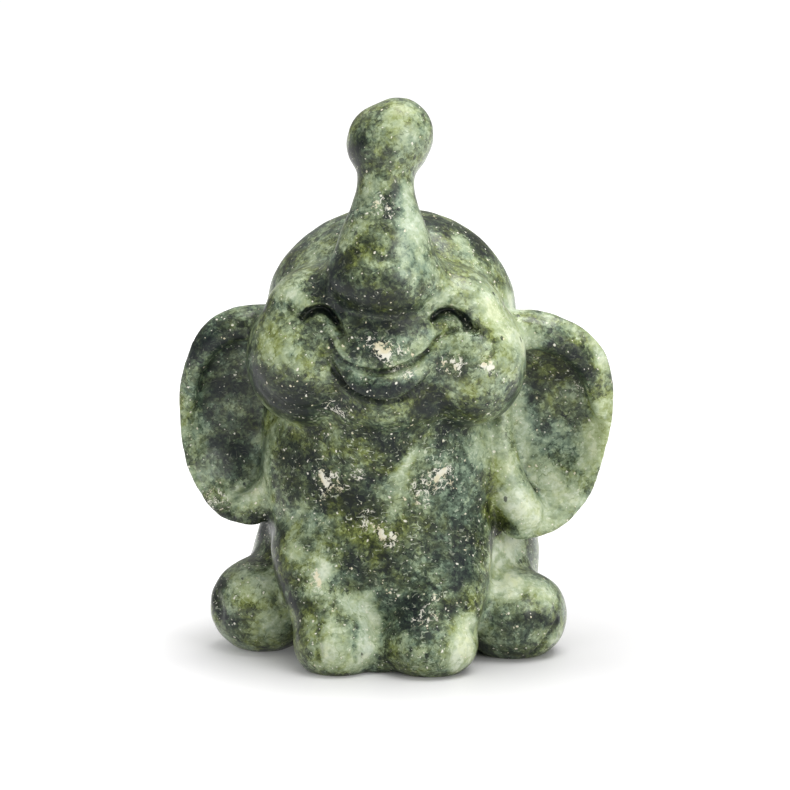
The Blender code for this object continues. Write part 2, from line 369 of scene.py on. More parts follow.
def trunk(clay):
    lump(clay, (-0.8, -12.4, 52.5), (8.1, 7.9, 5.6))  # root
    limb(
        clay,
        [
            (-0.8, -12.0, 52.6, 7.2),
            (-0.6, -12.0, 56.4, 6.6),
            (-0.5, -11.4, 60.6, 5.0),
            (-0.4, -10.6, 65.2, 3.9),
            (-0.2, -9.8, 68.6, 4.3),
        ],
    )
    lump(clay, (-0.2, -9.3, 69.9), (5.5, 5.6, 5.4))  # knob
    lump(clay, (1.0, -9.3, 71.1), (4.9, 5.2, 4.9))  # the knob's fuller right side


def legs(clay):
    limb(  # left foreleg
        clay,
        [
            (-10.2, -1.8, 21, 5.6),
            (-10.2, -7.6, 14, 5.6),
            (-8.9, -10.9, 9, 5.0),
            (-7.2, -12.6, 4.4, 5.0),
        ],
    )
    lump(clay, (-7.2, -13.0, 3.7), (5.8, 6.4, 5.1))  # left forefoot
    limb(  # right foreleg
        clay,
        [(8.2, -1.8, 21, 5.6), (7.6, -7.4, 14, 6.2), (6.4, -10.6, 9, 6.4), (5.5, -13, 4.4, 5.8)],
    )
    lump(clay, (5.3, -13.8, 3.6), (6.6, 6.4, 4.8))  # right forefoot
    lump(clay, (-1.1, -12.6, 2.2), (2.8, 4.0, 3.2))  # web between the forefeet
    lump(clay, (-17.2, -0.8, 6.0), (7.4, 7.4, 6.8))  # left hind foot
    lump(clay, (16.6, -3.4, 5.2), (7.6, 7.6, 6.4))  # right hind foot


def tail(clay):
    limb(
        clay,
        [(0.5, 18.2, 19.5, 2.2), (0.8, 21.2, 13.5, 1.8), (2.2, 21.4, 9, 1.7), (4.0, 20.2, 5.6, 1.9)],
    )


def ears(clay):
    ear(  # left
        clay,
        (-19.2, 1.2, 30.5),
        [
            (-11.0, -2.0, 46.0, 5.0),
            (-17.9, -4.2, 47.8, 5.4),
            (-22.4, -4.8, 46.8, 5.4),
            (-24.9, -4.8, 45.0, 5.0),
            (-26.8, -4.4, 42.0, 4.4),
            (-28.1, -3.4, 37.0, 4.0),
            (-28.3, -3.0, 32.0, 3.8),
            (-27.6, -3.0, 26.0, 3.8),
            (-25.9, -3.6, 22.3, 4.2),
            (-23.2, -4.2, 19.2, 4.6),
            (-20.7, -4.8, 18.2, 5.0),
            (-17.0, -4.4, 18.2, 5.0),
            (-12.0, -1.0, 24.0, 4.0),
            (-10.0, 0, 34.0, 4.0),
        ],
    )
    limb(  # left ear's rolled top edge
        clay,
        [
            (-13, -3.4, 45.4, 2.4),
            (-18, -4.9, 45.3, 2.2),
            (-22.6, -5.2, 43.8, 1.8),
            (-25.8, -4.4, 39.6, 1.3),
            (-26.8, -3.4, 34, 0.9),
        ],
    )
    limb(  # left ear's inner ridge
        clay,
        [(-15.0, -1.6, 32, 2.0), (-15.1, -2.2, 26, 2.2), (-16.5, -3.2, 21.6, 2.4), (-19.6, -3.8, 20, 1.9)],
    )
    ear(  # right
        clay,
        (20.2, 1.2, 31.5),
        [
            (11.0, -2.0, 45.0, 5.4),
            (18.8, -4.2, 46.9, 6.0),
            (24.9, -4.8, 45.3, 5.6),
            (28.4, -4.4, 42.0, 5.0),
            (29.8, -3.6, 37.2, 4.4),
            (30.0, -3.2, 33.0, 4.0),
            (29.5, -3.0, 29.4, 3.8),
            (28.1, -3.2, 24.0, 4.0),
            (26.2, -3.8, 20.4, 4.4),
            (22.7, -4.6, 17.3, 5.0),
            (18.6, -5.4, 16.0, 5.2),
            (15.6, -5.6, 16.6, 5.0),
            (14.0, -4.4, 20.0, 4.4),
            (13.0, -1.0, 26.0, 4.0),
            (10.0, 0, 34.0, 4.0),
        ],
    )
    limb(  # right ear's rolled top edge
        clay,
        [
            (12.5, -3.4, 44.2, 2.8),
            (17.5, -4.8, 44.3, 2.6),
            (22.4, -5.2, 43.0, 2.1),
            (26.2, -4.8, 39.6, 1.6),
            (28.2, -3.6, 33, 1.0),
        ],
    )
    limb(  # right ear's inner ridge
        clay,
        [(14.6, -1.8, 35, 2.0), (14.6, -2.8, 30, 2.3), (15.5, -3.8, 24, 2.9), (17.8, -4.6, 19.4, 3.0)],
    )


# Cuts in the skin. The routes named here are both cut and given painted shade along their grooves

SMILE_LINE = [
    (-8.1, 45.2),
    (-6.3, 42.6),
    (-3.4, 41.4),
    (-0.6, 41.2),
    (2.4, 41.9),
    (4.8, 43.4),
    (6.2, 45.2),
    (8.4, 46.3),
    (10.6, 46.3),
    (12.3, 45.6),
]
LIP_LINE = [(-8.0, 43.8), (-7.4, 41.2), (-5.6, 38.7), (-3.2, 37.4), (-0.6, 37.0), (2.0, 37.5), (5.6, 40.2)]
OUTER_TOE = [(-9.1, 7.0), (-9.4, 5.0), (-9.2, 2.6)]
INNER_TOE = [(-4.5, 7.8), (-4.7, 5.0), (-4.5, 2.4)]
HIND_TOE = [(19.1, 0.8), (20.2, 1.8), (21.3, 3.2), (22.6, 5.4)]


def laid_on(tree, line):
    """The line's (x, z) points carried straight back on to the front of the skin."""
    laid = []
    for x, z in line[:, :2] * UNIT:
        hit = tree.ray_cast(Vector((x, -1, z)), Vector((0, 1, 0)))[0]
        if hit is not None:
            laid.append(hit)
    if not laid:
        raise ValueError(f"The route from {line[0]} misses the figure's front")
    return np.array(laid)


def close_to(laid, points, reach):
    """Rows of the points within reach of the line, their way from it and how far along it each is."""
    inside = ((points > laid.min(axis=0) - reach) & (points < laid.max(axis=0) + reach)).all(axis=1)
    rows = np.flatnonzero(inside)
    apart = points[rows][:, None, :] - laid[None, :, :]
    distance = np.linalg.norm(apart, axis=2)
    nearest = distance.argmin(axis=1)
    within = np.flatnonzero(distance.min(axis=1) < reach)
    way = apart[within, nearest[within]]
    along = nearest[within] / max(1, len(laid) - 1)
    return rows[within], way, along


def places(skin):
    return np.array([vertex.co for vertex in skin.verts])


def gouge(skin, route, above, below, depth, finer):
    """Presses a groove into the skin along a route, or raises a ridge where depth is negative.

    The groove reaches above and below its route by those widths, so a lid can be steep on one side.
    The faces round it are first split, as many times as finer says.
    """
    laid = laid_on(BVHTree.FromBMesh(skin), smooth_line(route))
    reach = max(above, below) * UNIT
    for _ in range(finer):
        skin.verts.index_update()
        near = set(close_to(laid, places(skin), 1.2 * reach)[0].tolist())
        edges = [e for e in skin.edges if e.verts[0].index in near and e.verts[1].index in near]
        bmesh.ops.subdivide_edges(skin, edges=edges, cuts=1, use_grid_fill=True)
    skin.normal_update()
    skin.verts.ensure_lookup_table()
    rows, way, along = close_to(laid, places(skin), reach)
    for row, apart, part in zip(rows, way, along):
        width = (above if apart[2] > 0 else below) * UNIT
        share = max(0, 1 - (np.linalg.norm(apart) / width) ** 2) ** 2
        share *= max(0, math.sin(math.pi * part)) ** END_TAPER
        vertex = skin.verts[row]
        vertex.co -= vertex.normal * (share * depth * UNIT)


def cut_eyes(skin):
    gouge(
        skin,
        [(-11.6, 47.5), (-10.7, 48.6), (-9.4, 49.1), (-8.0, 48.7), (-6.8, 47.3), (-5.9, 45.6)],
        above=0.6,
        below=1.3,
        depth=1.9,
        finer=2,
    )
    gouge(
        skin,
        [(5.2, 47.2), (6.1, 48.3), (7.6, 48.8), (9.1, 48.3), (10.2, 47.3), (11.6, 46.2)],
        above=0.6,
        below=1.4,
        depth=1.9,
        finer=2,
    )


def cut_smile(skin):
    gouge(skin, SMILE_LINE, above=0.55, below=0.8, depth=0.85, finer=2)
    gouge(skin, LIP_LINE, above=0.8, below=0.6, depth=0.85, finer=2)


def cut_folds(skin):
    """The toes, the bumps and dents of the hind feet and the fold under the left cheek."""
    folds = [
        # route, reach above and below it, depth and how often the faces are split
        (OUTER_TOE, 0.7, 0.7, 0.4, 1),
        (INNER_TOE, 0.8, 0.8, 0.45, 1),
        ([(7.0, 6.0), (7.4, 4.0), (7.2, 1.8)], 0.8, 0.8, 0.3, 1),  # right forefoot's toe
        (HIND_TOE, 0.7, 0.9, 0.6, 1),
        ([(20.4, 0.9), (21.6, 2.2), (22.6, 3.6)], 0.8, 0.8, -0.35, 1),  # roll beside that toe
        ([(18.4, 9.6), (19.6, 9.0)], 1.5, 1.5, -0.5, 0),  # bumps on the right hind foot
        ([(20.8, 7.8), (21.6, 6.8)], 1.5, 1.5, -0.5, 0),
        ([(-23.6, 8.4), (-23.0, 6.0), (-23.6, 4.0)], 1.2, 1.2, 0.3, 0),  # left hind foot
        ([(-17.6, 40.2), (-15.9, 37.6), (-13.0, 35.7), (-9.0, 35.6)], 1.2, 1.2, 0.3, 0),  # left cheek
    ]
    for route, above, below, depth, finer in folds:
        gouge(skin, route, above, below, depth, finer)


def wobble(skin, height, size):
    """Lets the surface wander in and out by up to a height, in waves about size units wide."""
    skin.normal_update()
    for vertex in skin.verts:
        drift = noise.noise(vertex.co / (size * UNIT))
        vertex.co += vertex.normal * (drift * height * UNIT)


def cut_flat(skin):
    """Cuts the underside flat at the table's height."""
    cut = bmesh.ops.bisect_plane(
        skin,
        geom=[*skin.verts, *skin.edges, *skin.faces],
        plane_co=(0, 0, 0),
        plane_no=(0, 0, -1),
        clear_outer=True,
    )
    rim = [edge for edge in cut["geom_cut"] if isinstance(edge, bmesh.types.BMEdge)]
    bmesh.ops.holes_fill(skin, edges=rim)
    bmesh.ops.triangulate(skin, faces=[face for face in skin.faces if len(face.verts) > 4])


def fitted_place(points):
    """The matrix that brings the drawn figure into the solid's own box."""
    low, high = points.min(axis=0), points.max(axis=0)
    middle = (low + high) / 2
    wanted = (np.array(LOW) + np.array(HIGH)) / 2
    size = (HIGH[2] - LOW[2]) / (high[2] - low[2])
    return (
        Matrix.Translation((wanted[0], wanted[1], LOW[2]))
        @ Matrix.Scale(size, 4)
        @ Matrix.Translation((-middle[0], -middle[1], -low[2]))
    )


# Patches brushed on the figure, among them painted shade and painted highlights. Each has an amount, how
# far it reaches and its route over the front

# Pale and dark: the stone's own clouds, mixed with painted shade in the cuts, under the cheeks, the ears
# and the trunk's root and where the feet meet the floor, and painted highlights where the light falls
PALE_AND_DARK = [
    # painted shade in the grooves of the eyes and the mouth
    (-1.5, 0.9, [(-10.3, 48.1), (-9.2, 48.6), (-8.2, 48.3), (-7.3, 47.4)]),
    (-1.3, 0.7, [(-11.5, 47.4), (-10.7, 48.1), (-10.0, 48.4)]),
    (-1.5, 1.0, [(6.0, 47.9), (7.4, 48.5), (8.8, 48.2), (9.8, 47.5)]),
    (-0.7, 0.42, SMILE_LINE[:6]),
    (-0.6, 0.4, SMILE_LINE[5:7]),
    (-0.9, 0.42, [*LIP_LINE[1:6], (4.2, 39.0)]),
    # trunk and dome
    (-0.2, 1.8, [(-0.4, 55.0), (0.9, 53.0)]),
    (-0.4, 1.4, [(12.0, 54.4), (12.6, 53.2)]),
    (-0.35, 1.3, [(0.3, 63.6), (1.5, 61.8)]),
    (-0.3, 1.3, [(2.6, 61.6), (3.0, 60.6)]),
    (0.3, 1.6, [(-5.4, 58.8), (-4.0, 58.0)]),
    (0.25, 1.6, [(-10.6, 53.8), (-9.6, 53.2)]),
    (-0.25, 1.4, [(-6.2, 55.2), (-5.2, 54.6)]),
    (-0.25, 1.8, [(-4.6, 50.4), (-1.0, 50.0)]),
    (-0.35, 1.6, [(-4.2, 68.4), (-4.0, 66.2)]),
    (-0.25, 2.4, [(-11.4, 55.6), (-9.4, 58.2)]),
    (0.4, 1.5, [(9.0, 57.0), (9.6, 55.8)]),
    (0.15, 1.5, [(-1.6, 71.2), (-0.2, 70.8)]),
    # painted shade along the dome's upper right edge, dimming its pale rim reflection
    (-0.6, 2.2, [(5.5, 58.8), (8.8, 57.8), (11.6, 56.0)]),
    (0.2, 1.8, [(3.0, 73.4), (3.6, 72.2)]),
    # partly dark stone, partly painted shade under the trunk's root, in this line and the next
    (-0.6, 1.7, [(-9.8, 51.7), (-6.2, 50.3), (-2.7, 48.8), (1.2, 48.1)]),
    (-0.5, 2.0, [(-9.3, 52.2), (-6.2, 50.9)]),
    (0.2, 4.4, [(-0.4, 72.9), (0.6, 70.7)]),
    (0.2, 2.6, [(0.7, 74.5), (2.5, 72.8)]),
    (-0.3, 1.4, [(-5.1, 72.0), (-4.7, 68.2)]),
    (-0.35, 0.7, [(-2.2, 73.0), (-0.7, 74.7)]),
    (-0.45, 2.2, [(-4.2, 68.3), (-2.0, 67.5), (0.6, 67.7)]),
    (0.1, 2.4, [(-2.7, 64.9), (-3.0, 61.0)]),
    (-0.6, 1.5, [(0.3, 64.0), (0.8, 62.7), (0.3, 61.0)]),
    (-0.4, 1.2, [(-3.0, 57.8), (-4.4, 56.8), (-6.1, 55.8)]),
    (-0.9, 2.0, [(-6.0, 55.8), (-7.2, 54.3)]),
    (-0.3, 1.6, [(-4.6, 67.4), (-2.4, 66.2)]),
    # partly pale stone, partly a painted highlight: the broad sheen down the trunk's right side
    (0.65, 2.4, [(2.4, 62.4), (3.2, 58.7), (3.3, 54.6)]),
    (0.3, 2.0, [(-2.6, 63.2), (-1.4, 59.4), (0.4, 57.4)]),
    (-0.1, 3.4, [(-3.8, 54.9), (-0.6, 52.2)]),
    # partly dark stone, partly painted shade under the trunk's root
    (-0.5, 1.8, [(-7.2, 50.9), (-2.7, 49.9), (1.6, 48.9)]),
    (-0.6, 2.6, [(5.4, 59.6), (8.4, 58.8), (11.2, 56.8), (13.0, 54.0), (13.8, 51.6)]),
    (0.15, 2.0, [(8.2, 56.1), (9.9, 54.5)]),
    (-0.3, 2.4, [(-4.4, 51.8), (-1.6, 51.0)]),
    (0.3, 1.6, [(-1.8, 65.6), (-1.4, 64.6)]),
    (0.25, 1.3, [(1.6, 67.4), (1.6, 66.4)]),
    (-0.1, 2.4, [(-8.4, 57.5), (-11.8, 55.5)]),
    (-0.35, 2.2, [(-14.4, 53.2), (-12.8, 52.8)]),
    # face
    (-0.2, 1.4, [(-9.9, 46.6), (-9.0, 46.4)]),
    (-0.5, 1.6, [(0.8, 48.0), (3.0, 47.6)]),
    (-0.35, 1.5, [(-6.3, 38.2), (-4.9, 37.0)]),
    # partly dark stone, partly painted shade under the left cheek
    (-0.3, 2.0, [(-15.0, 37.4), (-11.5, 36.4)]),
    (-0.4, 1.3, [(-4.6, 43.4), (-2.2, 42.6)]),
    (0.3, 2.0, [(12.4, 50.6), (13.4, 47.8)]),
    (0.2, 1.8, [(-14.4, 44.4), (-14.0, 42.2)]),
    (0.45, 0.8, [(5.2, 49.8), (6.6, 50.2)]),
    (0.35, 1.0, [(-5.6, 42.2), (-3.6, 41.4)]),
    (0.3, 1.3, [(-2.8, 47.0), (-1.6, 46.6)]),
    # painted highlight on the lower lip
    (0.3, 1.0, [(-0.2, 42.4), (1.2, 42.2)]),
    # partly dark stone, partly painted shade under the left cheek
    (-0.3, 1.8, [(-17.0, 37.6), (-15.0, 36.4)]),
    (0.3, 1.6, [(10.6, 38.4), (11.4, 37.4)]),
    (-0.3, 1.8, [(-15.5, 37.6), (-12.5, 37.0)]),
    (-0.35, 1.4, [(-8.2, 36.6), (-6.8, 36.0)]),
    (-0.3, 1.3, [(6.6, 43.0), (7.2, 41.6)]),
    (-0.25, 1.8, [(4.6, 52.0), (6.0, 50.6)]),
    (0.35, 1.8, [(-15.6, 42.2), (-14.6, 41.2)]),
    (0.25, 1.6, [(-10.6, 53.0), (-9.8, 52.4)]),
    (0.2, 1.8, [(2.6, 47.0), (4.9, 46.4)]),
    (0.25, 2.2, [(11.6, 51.6), (13.6, 50.6)]),
    (0.25, 1.6, [(9.6, 44.6), (10.6, 44.0)]),
    (0.3, 1.4, [(-7.2, 44.6), (-6.6, 43.6)]),
    (0.25, 1.0, [(-5.2, 41.0), (-3.8, 40.6)]),
    (0.35, 1.5, [(5.2, 50.4), (7.0, 50.6)]),
    (-0.6, 1.8, [(-5.4, 39.6), (-2.5, 38.6), (0.9, 38.4), (2.5, 39.2)]),
    (0.25, 1.2, [(-4.0, 40.4), (-0.6, 40.2), (2.2, 40.8), (4.4, 42.4)]),
    # painted highlight on the lower lip
    (0.4, 0.9, [(0.1, 40.6), (1.8, 40.7)]),
    (-0.5, 1.2, [(-3.0, 38.3), (0.8, 38.2)]),
    (-0.35, 1.5, [(-3.8, 39.4), (0.4, 39.0)]),
    (-0.45, 2.4, [(-15.2, 39.6), (-11.4, 39.2)]),
    (-0.3, 1.3, [(11.0, 42.6), (12.0, 42.0)]),
    # partly dark stone, partly painted shade under the trunk's root, on the muzzle
    (-0.25, 2.2, [(-4.6, 48.4), (0.6, 47.4)]),
    (-0.3, 2.0, [(-15.6, 48.6), (-14.8, 49.6)]),
    (-0.3, 1.8, [(4.0, 36.2), (6.0, 35.4)]),
    (-0.35, 2.4, [(-15.4, 36.6), (-13.4, 35.2)]),
    (-0.25, 2.0, [(-17.2, 40.2), (-16.8, 38.6)]),
    (-0.35, 1.3, [(9.8, 40.4), (10.8, 39.8)]),
    (0.3, 3.6, [(-16.1, 44.9), (-15.8, 42.9), (-12.4, 41.3)]),
    # partly dark stone, partly painted shade under the left cheek
    (-0.7, 2.6, [(-16.7, 38.2), (-14.0, 36.8), (-11.1, 37.0), (-9.9, 35.4)]),
    (-0.35, 1.8, [(-11.3, 45.9), (-9.8, 43.9)]),
    (0.4, 2.6, [(-15.1, 50.7), (-12.2, 50.4)]),
    (-0.4, 1.2, [(-18.0, 46.9), (-15.9, 49.2), (-13.5, 48.3)]),
    # partly pale stone, partly painted light where the light falls on the right brow, in this line and the
    # next
    (0.35, 4.0, [(10.1, 51.1), (13.5, 49.0), (15.1, 45.9)]),
    (0.75, 2.4, [(13.0, 52.6), (14.6, 50.4), (16.0, 47.6)]),
    (0.45, 2.2, [(16.4, 47.4), (17.2, 43.9)]),
    (0.3, 1.6, [(11.6, 41.0), (13.0, 40.6)]),
    (-0.45, 1.5, [(12.1, 46.2), (12.5, 44.4)]),
    (0.25, 4.2, [(8.2, 41.8), (11.9, 41.6), (15.1, 42.8)]),
    (-0.45, 2.0, [(4.6, 37.3), (6.7, 35.8)]),
    (-0.35, 2.4, [(10.1, 35.7), (14.0, 37.2)]),
    (-0.15, 2.6, [(6.1, 39.0), (11.1, 38.3)]),
    (0.3, 2.2, [(2.0, 45.8), (3.8, 44.5), (3.0, 42.4)]),
    (-0.15, 2.4, [(-6.3, 37.7), (-1.7, 36.4), (4.8, 36.4)]),
    # chest
    # partly dark stone, partly painted shade under the right cheek
    (-0.6, 1.8, [(8.2, 31.8), (10.0, 31.2)]),
    (-0.15, 1.5, [(4.6, 29.2), (5.3, 28.0)]),
    (-0.4, 1.5, [(-1.7, 26.6), (0.0, 29.2), (0.9, 30.6)]),
    # painted shadow under the left cheek, on the top of the chest
    (-0.45, 2.4, [(-14.0, 34.6), (-10.0, 32.8)]),
    (0.2, 2.2, [(11.4, 28.6), (11.4, 25.6)]),
    (-0.25, 1.8, [(-4.6, 21.8), (-2.4, 21.4)]),
    (0.3, 1.8, [(-12.0, 20.0), (-7.6, 19.4)]),
    (0.25, 1.3, [(-7.2, 31.6), (-6.4, 31.4)]),
    (0.25, 1.3, [(0.8, 33.0), (1.6, 32.2)]),
    (0.2, 1.3, [(1.6, 26.8), (2.6, 28.4)]),
    (-0.25, 2.4, [(-11.5, 22.6), (-6.0, 20.2)]),
    (-0.45, 3.0, [(-12.4, 28.7), (-10.8, 25.4), (-8.9, 23.4)]),
    (-0.35, 2.6, [(-6.4, 25.4), (-4.1, 23.1)]),
    (0.45, 2.2, [(4.1, 29.0), (2.5, 26.6), (0.7, 24.4), (-1.7, 22.3)]),
    (0.15, 2.4, [(-8.3, 32.4), (-5.2, 30.7)]),
    (-0.45, 2.2, [(-4.1, 31.7), (-0.1, 30.9), (2.9, 31.2)]),
    (-0.15, 2.4, [(8.0, 26.4), (7.8, 22.6)]),
    (0.3, 3.0, [(11.8, 30.4), (12.6, 28.0), (12.8, 25.4)]),
    (0.35, 2.2, [(13.8, 32.6), (13.8, 27.0)]),
    (0.35, 1.8, [(0.9, 21.0), (0.9, 18.2)]),
    (-0.5, 2.0, [(-14.6, 25.6), (-14.0, 23.6)]),
    (-0.45, 2.2, [(7.4, 33.4), (10.0, 32.6)]),
    (0.3, 1.8, [(-8.8, 33.2), (-7.6, 32.0)]),
    (0.3, 2.2, [(-13.4, 21.6), (-12.4, 20.0)]),
    (-0.4, 1.8, [(-5.0, 22.6), (-2.4, 20.8)]),
    (-0.4, 2.6, [(10.3, 20.4), (10.8, 17.2), (10.0, 14.7)]),
    (-0.2, 2.0, [(2.2, 19.9), (4.2, 18.4)]),
    (-0.35, 1.3, [(13.2, 25.7), (13.4, 21.6), (14.0, 17.6)]),
    # ears
    (-0.5, 1.6, [(18.9, 36.6), (19.2, 33.4)]),
    (-0.35, 1.3, [(15.7, 19.2), (16.3, 18.6)]),
    (0.45, 2.0, [(17.8, 43.0), (19.4, 41.6)]),
    (0.2, 2.2, [(27.0, 42.0), (27.8, 38.4)]),
    (0.1, 1.8, [(27.8, 34.4), (27.4, 31.6)]),
    (0.35, 1.8, [(21.8, 23.8), (22.0, 20.0)]),
    (-0.25, 2.0, [(-22.6, 35.6), (-19.4, 35.6)]),
    (-0.3, 1.5, [(20.4, 40.4), (23.0, 40.8), (25.4, 40.2)]),
    (-0.3, 1.5, [(18.0, 45.6), (19.2, 45.4)]),
    (-0.25, 2.0, [(19.8, 27.4), (20.4, 25.4)]),
    (-0.2, 2.2, [(-23.0, 35.2), (-19.5, 35.0)]),
    (-0.3, 1.4, [(18.6, 40.4), (19.2, 39.4)]),
    (-0.45, 1.8, [(-17.2, 19.6), (-16.4, 17.8)]),
    # painted shadow under the left ear's rolled top edge
    (-0.65, 1.8, [(-24.0, 42.4), (-20.8, 42.4)]),
    (0.45, 2.6, [(18.4, 24.5), (18.8, 21.5)]),
    # painted shade under the right ear's tip
    (-0.4, 1.3, [(14.0, 17.6), (15.2, 16.9)]),
    (0.4, 1.7, [(-17.5, 29.2), (-17.7, 24.4), (-18.4, 21.6)]),
    (-0.3, 4.2, [(-24.1, 38.9), (-23.8, 34.4), (-22.4, 28.8), (-20.5, 26.3)]),
    (-0.6, 2.2, [(-25.2, 42.7), (-22.2, 43.9), (-19.8, 44.1)]),
    (-0.4, 1.4, [(-18.9, 30.6), (-18.9, 27.4)]),
    (0.3, 2.0, [(-25.0, 29.4), (-24.8, 25.4)]),
    (-0.2, 2.0, [(-20.7, 26.6), (-19.1, 24.9)]),
    (0.2, 2.0, [(-21.8, 33.1), (-20.6, 29.8)]),
    (-0.2, 1.8, [(-20.4, 35.4), (-18.8, 31.0)]),
    (0.35, 2.0, [(-27.2, 40.5), (-27.4, 34.9), (-27.2, 30.6)]),
    (-0.25, 1.8, [(-27.6, 28.4), (-27.0, 26.0)]),
    (0.25, 2.6, [(-25.6, 23.4), (-23.1, 21.3)]),
    (0.3, 1.8, [(-20.8, 22.8), (-18.6, 20.6)]),
    # painted shadow under the left ear's tip
    (-0.8, 2.4, [(-17.8, 17.4), (-16.0, 17.0)]),
    (0.3, 1.8, [(-16.2, 30.4), (-16.0, 26.4)]),
    (-0.3, 1.6, [(-24.4, 21.2), (-21.0, 19.0)]),
    (0.4, 1.8, [(21.4, 46.0), (23.2, 45.6), (25.8, 43.8), (27.8, 41.2)]),
    (0.35, 1.4, [(28.4, 39.6), (28.6, 37.8)]),
    (-0.45, 2.2, [(20.0, 42.2), (23.6, 41.8), (25.8, 39.8)]),
    (-0.25, 2.2, [(19.5, 40.2), (22.6, 39.4)]),
    (-0.45, 1.0, [(22.0, 37.4), (24.9, 37.8), (26.5, 38.6)]),
    (-0.45, 1.3, [(19.4, 37.5), (19.7, 34.5)]),
    (-0.4, 1.3, [(26.8, 39.0), (28.0, 36.3)]),
    (0.4, 1.7, [(18.0, 43.7), (20.0, 43.5)]),
    (0.3, 1.4, [(27.4, 42.4), (27.8, 40.9)]),
    (0.35, 2.2, [(23.0, 29.6), (26.6, 28.4)]),
    (-0.15, 2.0, [(20.6, 35.4), (21.6, 32.4)]),
    (-0.3, 1.6, [(24.6, 32.4), (25.6, 31.8)]),
    (-0.35, 1.6, [(23.8, 25.0), (24.6, 23.6)]),
    (0.3, 1.6, [(15.2, 21.6), (15.6, 20.6)]),
    (-0.2, 1.6, [(18.6, 25.4), (19.6, 22.6)]),
    (0.5, 1.9, [(28.6, 33.8), (28.3, 30.2), (27.4, 26.0), (26.0, 22.6)]),
    (0.35, 2.4, [(21.3, 24.0), (22.9, 22.6)]),
    (0.75, 2.4, [(18.6, 19.8), (20.0, 18.4), (22.0, 18.6), (24.6, 20.5)]),
    (-0.35, 1.3, [(15.4, 18.8), (16.4, 17.6)]),
    (0.5, 2.0, [(16.2, 33.7), (16.4, 29.5), (15.8, 24.6), (15.2, 21.4)]),
    # partly pale stone, partly painted light against the shade of the crease between the right cheek and
    # ear
    (0.7, 2.2, [(17.8, 35.9), (18.3, 31.9), (18.0, 27.6)]),
    # legs and feet
    (-0.4, 1.3, [(-17.2, 16.6), (-16.0, 13.5), (-14.4, 10.8)]),
    (-0.6, 1.4, [(13.6, 16.0), (15.0, 15.6)]),
    # painted shade along the left hind foot's outer edge, dimming its pale rim reflection
    (-0.4, 2.0, [(-23.4, 9.0), (-23.4, 5.8)]),
    (0.35, 2.2, [(20.2, 10.0), (21.0, 8.6)]),
    (0.75, 1.7, [(20.0, 2.6), (22.2, 3.0)]),
    (-0.35, 1.5, [(-3.8, 12.8), (-2.6, 12.2)]),
    (0.3, 1.6, [(-8.4, 15.6), (-8.0, 13.6)]),
    (0.3, 1.4, [(-13.0, 15.6), (-12.8, 14.0)]),
    (0.3, 1.4, [(-2.6, 8.2), (-2.4, 6.6)]),
    (0.35, 1.6, [(15.4, 8.6), (16.2, 7.4)]),
    (0.35, 1.4, [(8.0, 3.2), (9.2, 2.8)]),
    (-0.2, 1.6, [(-10.0, 16.4), (-8.2, 15.8)]),
    (0.3, 1.4, [(-1.6, 5.6), (-0.8, 3.8)]),
    (0.25, 1.4, [(-5.4, 8.8), (-4.8, 7.6)]),
    (0.3, 1.4, [(-9.4, 13.2), (-8.8, 12.2)]),
    (0.3, 1.6, [(11.4, 14.8), (13.0, 14.4)]),
    (-0.35, 1.4, [(9.0, 8.8), (9.4, 7.4)]),
    (-0.3, 1.4, [(-12.0, 8.8), (-11.8, 7.4)]),
    (-0.3, 1.8, [(19.0, 7.8), (19.6, 6.6)]),
    # painted highlight on the left forefoot
    (0.35, 1.6, [(-9.4, 7.6), (-9.0, 4.4)]),
    (0.95, 2.2, [(17.0, 15.5), (16.0, 12.8)]),
    (-0.3, 2.0, [(5.6, 16.6), (6.6, 15.0)]),
    (-0.3, 1.6, [(2.6, 12.6), (3.2, 11.2)]),
    (-0.4, 2.0, [(1.4, 17.6), (1.2, 14.6)]),
    (-0.3, 2.8, [(-2.8, 13.3), (1.5, 14.5)]),
    (-0.4, 2.0, [(-6.5, 14.7), (-5.4, 12.4)]),
    (0.1, 2.4, [(-12.8, 17.9), (-11.6, 15.4)]),
    (0.35, 1.9, [(-9.0, 13.8), (-8.6, 11.0)]),
    (-0.4, 1.8, [(-12.6, 12.2), (-12.2, 10.4)]),
    (0.3, 1.6, [(-7.4, 6.2), (-6.8, 4.6)]),
    (-0.6, 1.6, [(-5.0, 14.2), (-4.0, 12.6)]),
    (-0.35, 1.5, [(4.0, 10.4), (4.4, 8.6)]),
    (-0.45, 2.2, [(-15.4, 15.8), (-14.0, 10.7), (-12.3, 7.1)]),
    (0.2, 2.6, [(13.6, 13.8), (14.4, 9.7)]),
    (0.6, 2.4, [(17.0, 10.2), (19.6, 8.8)]),
    (0.8, 1.8, [(14.8, 13.8), (15.2, 12.0)]),
    (-0.3, 2.4, [(-23.4, 8.0), (-21.7, 4.6), (-18.5, 2.6)]),
    (0.5, 2.6, [(-21.0, 8.6), (-18.0, 9.6)]),
    (-0.3, 1.6, [(-18.2, 6.6), (-17.2, 6.0)]),
    (0.6, 2.2, [(-16.8, 5.2), (-15.6, 3.4)]),
    # painted shade in the toes' grooves, in this line and the next two
    (-0.6, 0.4, OUTER_TOE),
    (-0.6, 0.4, INNER_TOE),
    (-0.5, 0.4, HIND_TOE),
    # painted shade in the fold between the forefeet
    (-0.5, 1.8, [(-0.8, 5.4), (-1.0, 2.4)]),
    (0.55, 3.0, [(-8.3, 3.3), (-5.4, 4.0)]),
    # partly pale stone, partly painted light against the shade of the crease beside the left forefoot
    (0.85, 2.5, [(-3.8, 11.0), (-3.0, 8.0), (-2.8, 5.0), (-3.0, 2.0)]),
    (-0.35, 3.0, [(-0.1, 9.0), (3.6, 7.5)]),
    (1.0, 2.2, [(9.9, 6.3), (10.1, 4.4), (9.4, 2.4)]),
